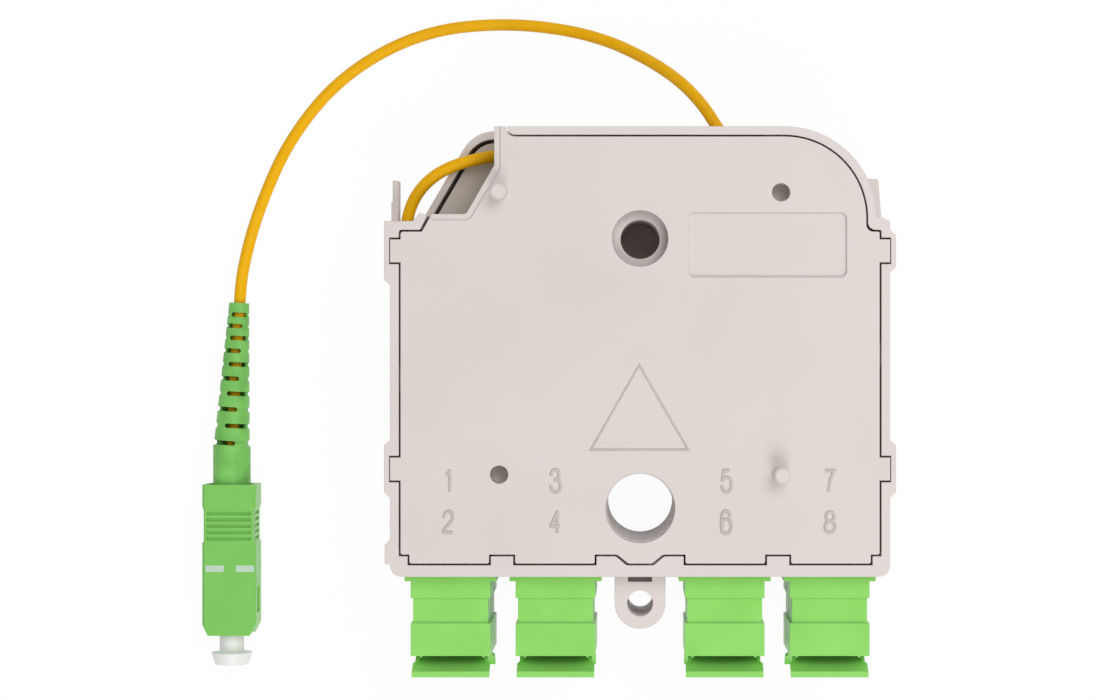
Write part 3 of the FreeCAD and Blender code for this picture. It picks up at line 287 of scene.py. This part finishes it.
# ------------------------------------------------------------------ materials
def spark_eroded_abs(name, colour, shade, edge_highlight_tint, edge):
    """Matte ABS from a spark-eroded mould: an even fine grain that kills sharp highlights."""
    material, tree, place = start_material(name)
    base = cloudy_colour(tree, place, colour, shade, 22.0)
    # Edges are painted lighter as a highlight.
    base, normal = soft_edges_painted_highlight(tree, base, edge_highlight_tint, edge, 0.5)
    # The real grain is about 0.03 mm and is drawn at 0.3 mm, so that it can be seen.
    normal = grain(tree, place, normal, 0.3, 0.012, 0.5)
    rough = sheen_spread(tree, place, 0.42, 0.56, 9.0)
    return close_material(tree, material, {"Base Color": base, "Roughness": rough,
                                           "Normal": normal, "IOR": 1.53})


def glossy_pbt(name, colour, shade, edge_highlight_tint, edge=0.15 * MM):
    """Green PBT from a polished mould: clean broad highlights and slightly wavy faces."""
    material, tree, place = start_material(name)
    base = cloudy_colour(tree, place, colour, shade, 7.0)
    # Edges are painted lighter as a highlight.
    base, normal = soft_edges_painted_highlight(tree, base, edge_highlight_tint, edge, 0.45)
    normal = grain(tree, place, normal, 3.2, 0.012, 0.35)
    rough = sheen_spread(tree, place, 0.28, 0.4, 2.5)
    return close_material(tree, material, {
        "Base Color": base, "Roughness": rough, "Normal": normal, "IOR": 1.55,
        "Specular IOR Level": 0.2, "Subsurface Weight": 0.06, "Subsurface Scale": 0.6 * MM,
        "Subsurface Radius": (0.6, 1.0, 0.4)})


def soft_tpe(name, colour, shade, edge_highlight_tint):
    """Thermoplastic elastomer boot: soft broad sheen, faint mould grain, rounded slot edges."""
    material, tree, place = start_material(name)
    base = cloudy_colour(tree, place, colour, shade, 3.0)
    # Edges are painted lighter as a highlight.
    base, normal = soft_edges_painted_highlight(tree, base, edge_highlight_tint, 0.12 * MM, 0.35)
    normal = grain(tree, place, normal, 0.25, 0.01, 0.5)
    rough = sheen_spread(tree, place, 0.45, 0.6, 2.0)
    return close_material(tree, material, {"Base Color": base, "Roughness": rough,
                                           "Normal": normal, "IOR": 1.5,
                                           "Subsurface Weight": 0.05,
                                           "Subsurface Scale": 0.5 * MM})


def extruded_jacket(name, colour, shade):
    """Extruded low-smoke jacket: satin, with faint unevenness along its length."""
    material, tree, place = start_material(name)
    base = cloudy_colour(tree, place, colour, shade, 6.0)
    soft = add_node(tree, "ShaderNodeNewGeometry").outputs["Normal"]
    normal = grain(tree, place, soft, 0.8, 0.02, 0.35)
    rough = sheen_spread(tree, place, 0.36, 0.5, 3.0)
    return close_material(tree, material, {"Base Color": base, "Roughness": rough,
                                           "Normal": normal, "IOR": 1.5,
                                           "Specular IOR Level": 0.15,
                                           "Subsurface Weight": 0.08,
                                           "Subsurface Scale": 0.4 * MM})


def moulded_polyethylene(name, colour, shade):
    """Soft white polyethylene cap: waxy, a little see-through at thin edges."""
    material, tree, place = start_material(name)
    base = cloudy_colour(tree, place, colour, shade, 4.0)
    # Edges are painted white as a highlight.
    base, normal = soft_edges_painted_highlight(tree, base, "FFFFFF", 0.2 * MM, 0.3)
    normal = grain(tree, place, normal, 0.6, 0.01, 0.4)
    return close_material(tree, material, {"Base Color": base, "Roughness": 0.42,
                                           "Normal": normal, "IOR": 1.51,
                                           "Subsurface Weight": 0.3,
                                           "Subsurface Scale": 0.8 * MM})


def polished_zirconia(name):
    """Zirconia ceramic ground to a mirror-like white."""
    material, tree, place = start_material(name)
    base = cloudy_colour(tree, place, "F6F4EC", "EFECE2", 2.0)
    normal = add_node(tree, "ShaderNodeBevel", {"Radius": 0.1 * MM}, samples=4)
    return close_material(tree, material, {"Base Color": base, "Roughness": 0.12,
                                           "Normal": normal.outputs["Normal"], "IOR": 2.1})


def drawn_metal(name, colour, shade, roughness, line_mm):
    """Drawn or turned metal: fine lines along Y blur the highlight."""
    material, tree, place = start_material(name)
    stretched = add_node(tree, "ShaderNodeMapping",
                         {"Vector": place, "Scale": (1.0, 0.05, 1.0)}).outputs["Vector"]
    base = cloudy_colour(tree, stretched, colour, shade, line_mm)
    soft = add_node(tree, "ShaderNodeBevel", {"Radius": 0.08 * MM}, samples=4)
    normal = grain(tree, stretched, soft.outputs["Normal"], line_mm, 0.004, 0.5)
    return close_material(tree, material, {"Base Color": base, "Roughness": roughness,
                                           "Normal": normal, "Metallic": 1.0})


def pad_print(name, colour):
    """Pad-printed ink: thin, even and a little duller than the plastic under it."""
    material, tree, place = start_material(name)
    base = cloudy_colour(tree, place, colour, "B9D4BC", 0.7)
    soft = add_node(tree, "ShaderNodeBevel", {"Radius": 0.05 * MM}, samples=4)
    normal = grain(tree, place, soft.outputs["Normal"], 0.2, 0.004, 0.5)
    return close_material(tree, material, {"Base Color": base, "Roughness": 0.5,
                                           "Normal": normal, "IOR": 1.48})


def white_floor():
    """Painted board: white to the camera and in reflections, and it keeps a faint shadow."""
    material, tree, place = start_material("white_painted_board")
    paint = cloudy_colour(tree, place, "FFFFFF", "F8F8F8", 400.0)
    board = add_node(tree, "ShaderNodeBsdfDiffuse", {"Color": paint})
    glow = add_node(tree, "ShaderNodeEmission", {"Color": linear("FFFFFF"), "Strength": 1.0})
    path = add_node(tree, "ShaderNodeLightPath")
    seen = add_node(tree, "ShaderNodeMath", {0: path.outputs["Is Camera Ray"],
                                             1: path.outputs["Is Glossy Ray"]},
                    operation="MAXIMUM")
    share = add_node(tree, "ShaderNodeMath", {0: seen.outputs["Value"], 1: FLOOR_GLOW},
                     operation="MULTIPLY")
    mixed = add_node(tree, "ShaderNodeMixShader", {0: share.outputs["Value"],
                                                   1: board.outputs["BSDF"],
                                                   2: glow.outputs["Emission"]})
    add_node(tree, "ShaderNodeOutputMaterial", {"Surface": mixed.outputs["Shader"]})
    return material


def finish_nodes(names, material):
    """Gives CAD nodes their finish."""
    for name in names:
        data = nodes[name].data
        data.materials.clear()
        data.materials.append(material)


# ------------------------------------------------------------------ shape tools
def from_front(x, y, z):
    """A point in mm, counted from the front edge, as a place in the part's frame."""
    return Vector((x, y + FRONT_EDGE_Y, z)) * MM


def new_piece(name, mesh, material, body):
    """Object of a finished mesh or curve, with its finish, riding on a body."""
    piece = bpy.data.objects.new(name, mesh)
    bpy.context.scene.collection.objects.link(piece)
    piece.data.materials.clear()
    piece.data.materials.append(material)
    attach(piece, body)
    return piece


def stroke_mesh(points, radius, closed=False):
    """Closed mesh of one round pen stroke: a smooth line, or a closed outline with corners."""
    curve = bpy.data.curves.new("stroke", "CURVE")
    curve.dimensions = "3D"
    curve.bevel_depth = radius
    curve.bevel_resolution = 4
    curve.use_fill_caps = True
    spline = curve.splines.new("POLY" if closed else "NURBS")
    spline.points.add(len(points) - 1)
    for target, point in zip(spline.points, points):
        target.co = (*point, 1.0)
    if closed:
        spline.use_cyclic_u = True
    else:
        spline.order_u = 3
        spline.use_endpoint_u = True
        spline.resolution_u = 6
    holder = bpy.data.objects.new("stroke", curve)
    bpy.context.scene.collection.objects.link(holder)
    bpy.context.view_layer.update()
    mesh = bpy.data.meshes.new_from_object(
        holder.evaluated_get(bpy.context.evaluated_depsgraph_get()))
    bpy.data.objects.remove(holder)
    bpy.data.curves.remove(curve)
    shape = bmesh.new()
    shape.from_mesh(mesh)
    bmesh.ops.remove_doubles(shape, verts=shape.verts, dist=0.0001 * MM)
    bmesh.ops.recalc_face_normals(shape, faces=shape.faces)
    shape.to_mesh(mesh)
    shape.free()
    return mesh


def joined(meshes):
    """One mesh made of several closed ones."""
    whole = bpy.data.meshes.new("joined")
    shape = bmesh.new()
    for mesh in meshes:
        shape.from_mesh(mesh)
    shape.to_mesh(whole)
    shape.free()
    return whole


def smooth_by_angle(mesh, degrees):
    """Smooth shading that stops at edges."""
    mesh.shade_smooth()
    mesh.set_sharp_from_angle(angle=math.radians(degrees))


# ------------------------------------------------------------------ operators
class SplitterStage(bpy.types.Operator):
    """Camera square above the cover, white floor and two large soft lights"""
    bl_idname = "splitter.stage"
    bl_label = "Stage"

    def execute(self, context):
        settings = context.scene.splitter_stage
        self.camera(context, settings)
        self.floor(context)
        self.lights(context, settings)
        context.scene.view_settings.view_transform = "Standard"
        return {"FINISHED"}

    def camera(self, context, settings):
        """Camera straight above the cover, framed by its shift."""
        data = bpy.data.cameras.new("camera")
        data.sensor_width = FILM_WIDTH
        data.lens = FILM_WIDTH * settings.camera_height / settings.view_width
        data.shift_x = CAMERA_SHIFT
        camera = bpy.data.objects.new("camera", data)
        context.scene.collection.objects.link(camera)
        camera.location = from_front(0.0, VIEW_MIDDLE_Y, 0.0)
        camera.location.z = COVER_TOP + settings.camera_height
        context.scene.camera = camera

    def floor(self, context):
        """Large white board just under the part."""
        shape = bmesh.new()
        bmesh.ops.create_grid(shape, x_segments=1, y_segments=1, size=FLOOR_HALF)
        bmesh.ops.translate(shape, verts=shape.verts, vec=(0.0, 0.0, -FLOOR_DROP))
        mesh = bpy.data.meshes.new("floor")
        shape.to_mesh(mesh)
        shape.free()
        mesh.materials.append(white_floor())
        board = bpy.data.objects.new("floor", mesh)
        context.scene.collection.objects.link(board)

    def lights(self, context, settings):
        """Two soft boxes and even light from all around, seen by the camera as white."""
        self.soft_box("key_light", *KEY_LIGHT, settings.key_power)
        self.soft_box("top_light", *TOP_LIGHT, settings.top_power)
        world = bpy.data.worlds.new("even_light")
        context.scene.world = world
        world.use_nodes = True
        tree = world.node_tree
        tree.nodes.clear()
        path = add_node(tree, "ShaderNodeLightPath")
        strength = add_node(tree, "ShaderNodeMapRange",
                            {"Value": path.outputs["Is Camera Ray"], "To Min": settings.sky,
                             "To Max": 1.0})
        glow = add_node(tree, "ShaderNodeBackground",
                        {"Color": linear("FFFFFF"), "Strength": strength.outputs["Result"]})
        add_node(tree, "ShaderNodeOutputWorld", {"Surface": glow.outputs["Background"]})

    def soft_box(self, name, place, size, power):
        """One square soft box that looks at the part."""
        data = bpy.data.lights.new(name, "AREA")
        data.shape = "SQUARE"
        data.size = size
        data.energy = power
        light = bpy.data.objects.new(name, data)
        bpy.context.scene.collection.objects.link(light)
        light.location = place
        aim = LIGHT_AIM - light.location
        light.rotation_euler = aim.to_track_quat("-Z", "Y").to_euler()


class SplitterCord(bpy.types.Operator):
    """Input cord from the clamp in the tray, round the outside and into the plug's boot"""
    bl_idname = "splitter.cord"
    bl_label = "Cord"

    def execute(self, context):
        settings = context.scene.splitter_cord
        curve = bpy.data.curves.new("input_cord", "CURVE")
        curve.dimensions = "3D"
        curve.bevel_depth = settings.diameter / 2
        curve.bevel_resolution = 6
        curve.use_fill_caps = True
        spline = curve.splines.new("NURBS")
        spline.points.add(len(CORD_ROUTE) - 1)
        for target, point in zip(spline.points, CORD_ROUTE):
            target.co = (*from_front(*point), 1.0)
        spline.order_u = 3
        spline.use_endpoint_u = True
        spline.resolution_u = 16
        jacket = extruded_jacket("satin_extruded_jacket", settings.colour, "ECAE00")
        cord = new_piece("input_cord", curve, jacket, "root")
        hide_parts("cord")
        return {"FINISHED"}


class SplitterShell(bpy.types.Operator):
    """Matte moulded base shell and the tray inside it"""
    bl_idname = "splitter.shell"
    bl_label = "Shell and tray"

    def execute(self, context):
        settings = context.scene.splitter_shell
        # The third colour of each finish is its painted edge highlight.
        shell = spark_eroded_abs("matte_abs_shell", settings.shell_colour, "DAD1CC", "EDE7E4",
                                 settings.edge)
        finish_nodes(["base_shell"], shell)
        tray = spark_eroded_abs("matte_abs_tray", settings.tray_colour, "D4CABE", "E6DED4",
                                settings.edge)
        finish_nodes(["fibre_tray"], tray)
        return {"FINISHED"}


class SplitterCover(bpy.types.Operator):
    """Cover with its port numbers and its triangle moulded on it as low rounded ribs"""
    bl_idname = "splitter.cover"
    bl_label = "Cover and its raised marks"

    def execute(self, context):
        settings = context.scene.splitter_shell
        # The third colour of each finish is its painted edge highlight.
        abs_cover = spark_eroded_abs("matte_abs_cover", settings.cover_colour, "D9D0CA",
                                     "EEE8E5", settings.edge)
        finish_nodes(["cover"], abs_cover)
        # Painted shade: the ribs' colours are darker than the cover's, though they are the same
        # plastic.
        abs_ribs = spark_eroded_abs("matte_abs_ribs_painted_shade", settings.rib_painted_shade_colour, "C2B8B1", "D8CFC9",
                                    settings.edge / 6)
        strokes = []
        for digit in DIGIT_STROKES:
            strokes += self.number(digit, settings)
        for name, mesh in (("port_numbers", joined(strokes)),
                           ("raised_triangle", self.triangle(settings))):
            smooth_by_angle(mesh, 50)
            new_piece(name, mesh, abs_ribs, "root")
        return {"FINISHED"}

    def number(self, digit, settings):
        """Strokes of one port number, beside the adapter column that it names."""
        column, row = divmod(int(digit) - 1, len(NUMBER_ROWS))
        half = settings.digit_height / 2
        width = settings.digit_width
        middle = from_front(NUMBER_COLUMNS[column], NUMBER_ROWS[row], 0.0)
        corner = middle - Vector((width / 2, half, 0.0))
        pen = settings.rib / 2
        height = COVER_TOP + settings.rib_rise - pen
        strokes = []
        for stroke in DIGIT_STROKES[digit]:
            line = [(corner.x + x * width, corner.y + y * half, height) for x, y in stroke]
            strokes.append(stroke_mesh(line, pen))
        return strokes

    def triangle(self, settings):
        """The triangle's rib, a little thicker than the numbers' ribs."""
        pen = 0.7 * settings.rib
        height = COVER_TOP + settings.rib_rise - pen
        corners = [from_front(x, y, 0.0) for x, y in TRIANGLE]
        outline = [(corner.x, corner.y, height) for corner in corners]
        return stroke_mesh(outline, pen, closed=True)


class SplitterAdapters(bpy.types.Operator):
    """Glossy green adapters, their shutters and the shutters' springs"""
    bl_idname = "splitter.adapters"
    bl_label = "Adapters and shutters"

    def execute(self, context):
        settings = context.scene.splitter_green
        # The third colour of each finish is its painted edge highlight.
        body = glossy_pbt("glossy_pbt_adapter", settings.adapter_colour, "8ED666", "B7EF97")
        finish_nodes(ADAPTERS, body)
        door = glossy_pbt("glossy_pbt_shutter", settings.adapter_colour, "90D969", "BAF19C")
        finish_nodes(SHUTTERS, door)
        wire = drawn_metal("drawn_spring_wire", "B9B7B2", "A9A7A2", 0.3, 0.1)
        finish_nodes(SPRINGS, wire)
        return {"FINISHED"}


class SplitterPlug(bpy.types.Operator):
    """Plug on the cord: grip with its pale marks, frame, boot, cap and the ferrule's parts"""
    bl_idname = "splitter.plug"
    bl_label = "Plug"

    def execute(self, context):
        settings = context.scene.splitter_green
        # The third colour of each finish is its painted edge highlight.
        grip = glossy_pbt("satin_pbt_plug", settings.plug_colour, "7EC65D", "A8DF8B")
        finish_nodes(["plug_grip", "plug_frame"], grip)
        boot = soft_tpe("soft_tpe_boot", settings.boot_colour, "6DB552", "92D077")
        finish_nodes(["boot"], boot)
        finish_nodes(["dust_cap"], moulded_polyethylene("waxy_polyethylene_cap", "F2F2F0",
                                                        "EAEAE8"))
        finish_nodes(["ferrule"], polished_zirconia("polished_zirconia_ferrule"))
        finish_nodes(["ferrule_spring"], drawn_metal("drawn_coil_wire", "B9B7B2", "A6A49F",
                                                     0.32, 0.1))
        finish_nodes(["crimp_ring"], drawn_metal("turned_aluminium_ring", "C9C9C7", "BBBBB9",
                                                 0.34, 0.15))
        self.marks(settings)
        return {"FINISHED"}

    def marks(self, settings):
        """Two pale printed bars that show how far the plug is pushed in."""
        ink = pad_print("pad_printed_ink", settings.mark_colour)
        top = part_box("plug_grip")[1].z
        for name, (low_x, high_x) in GRIP_MARKS.items():
            shape = bmesh.new()
            bmesh.ops.create_cube(shape, size=1.0)
            size = Vector((high_x - low_x, MARK_BREADTH, MARK_THICKNESS)) * MM
            middle = from_front((low_x + high_x) / 2, MARK_Y, 0.0)
            middle.z = top
            bmesh.ops.scale(shape, verts=shape.verts, vec=size)
            bmesh.ops.translate(shape, verts=shape.verts, vec=middle)
            uprights = [edge for edge in shape.edges
                        if abs(edge.verts[0].co.z - edge.verts[1].co.z) > size.z / 2]
            bmesh.ops.bevel(shape, geom=uprights, offset=0.12 * MM, segments=3, profile=0.5,
                            affect="EDGES", material=-1)
            mesh = bpy.data.meshes.new(name)
            shape.to_mesh(mesh)
            shape.free()
            new_piece(name, mesh, ink, "plug_grip")


class SplitterInside(bpy.types.Operator):
    """Splitter package, fibres, clamp and the inner plugs of the adapters"""
    bl_idname = "splitter.inside"
    bl_label = "Inner parts"

    def execute(self, context):
        finish_nodes(["splitter_package"], drawn_metal("drawn_steel_package", "B5B6B8",
                                                       "A4A5A8", 0.3, 0.2))
        finish_nodes(["input_fibre", "output_fibres"],
                     extruded_jacket("satin_nylon_buffer", "E9E7E1", "E0DED6"))
        finish_nodes(["cord_clamp", "sleeve_holders", "inner_plugs"],
                     # The third colour of each finish is its painted edge highlight.
                     glossy_pbt("dark_pbt_holder", "39453E", "323D37", "55635B"))
        finish_nodes(["inner_boots"], soft_tpe("soft_tpe_inner_boot", "74BD59", "6DB552",
                                               "92D077"))
        finish_nodes(["inner_ferrules", "split_sleeves"],
                     polished_zirconia("polished_zirconia_sleeve"))
        return {"FINISHED"}


class SplitterPanel(bpy.types.Panel):
    """Lists the makers of the cassette's pieces"""
    bl_idname = "VIEW3D_PT_splitter"
    bl_label = "Splitter"
    bl_space_type = "VIEW_3D"
    bl_region_type = "UI"
    bl_category = "Splitter"

    def draw(self, context):
        for maker in MAKERS:
            self.layout.operator(maker.bl_idname)


SETTINGS = (("splitter_cord", SplitterCordSettings), ("splitter_shell", SplitterShellSettings),
            ("splitter_green", SplitterGreenSettings), ("splitter_stage", SplitterStageSettings))
MAKERS = (SplitterStage, SplitterCord, SplitterShell, SplitterCover, SplitterAdapters,
          SplitterPlug, SplitterInside)


def register():
    for name, group in SETTINGS:
        bpy.utils.register_class(group)
        setattr(bpy.types.Scene, name, bpy.props.PointerProperty(type=group))
    for maker in MAKERS + (SplitterPanel,):
        bpy.utils.register_class(maker)


def unregister():
    for maker in reversed(MAKERS + (SplitterPanel,)):
        bpy.utils.unregister_class(maker)
    for name, group in reversed(SETTINGS):
        delattr(bpy.types.Scene, name)
        bpy.utils.unregister_class(group)


def main():
    register()
    for maker in MAKERS:
        group, action = maker.bl_idname.split(".")
        getattr(getattr(bpy.ops, group), action)()


if __name__ == "__main__":
    main()
